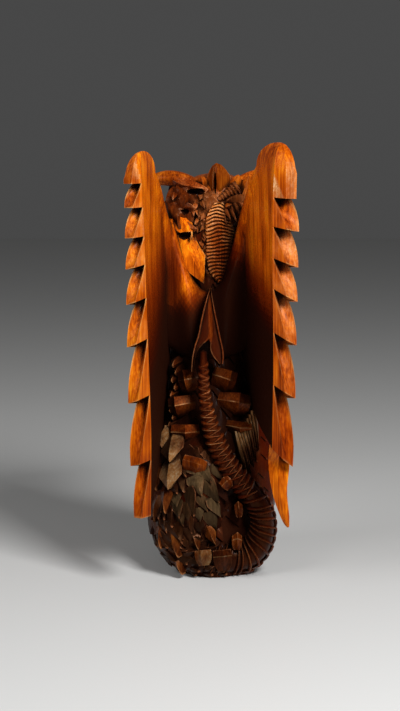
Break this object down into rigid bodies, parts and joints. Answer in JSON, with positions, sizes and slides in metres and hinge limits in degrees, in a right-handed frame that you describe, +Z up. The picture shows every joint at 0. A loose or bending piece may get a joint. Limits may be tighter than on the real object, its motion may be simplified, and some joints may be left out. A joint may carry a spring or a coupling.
{
  "type": "carved wooden dragon figure",
  "caption": "Upright winged dragon carved from one block of varnished hardwood, its feathered wings raised behind it and its tail climbing its back to a spade.",
  "frame": {"origin": "on the flat underside, in the middle of the bounding box", "axes": "+Z up, +Y the way the dragon's breast faces, +X to its right, the side its head is turned to"},
  "size_m": [0.114, 0.1459, 0.2976],
  "materials": {
    "carved_wood": "glossy varnish over a red-brown stain"
  },
  "bodies": {
    "root": {"dragon": "carved_wood"}
  },
  "joints": []
}
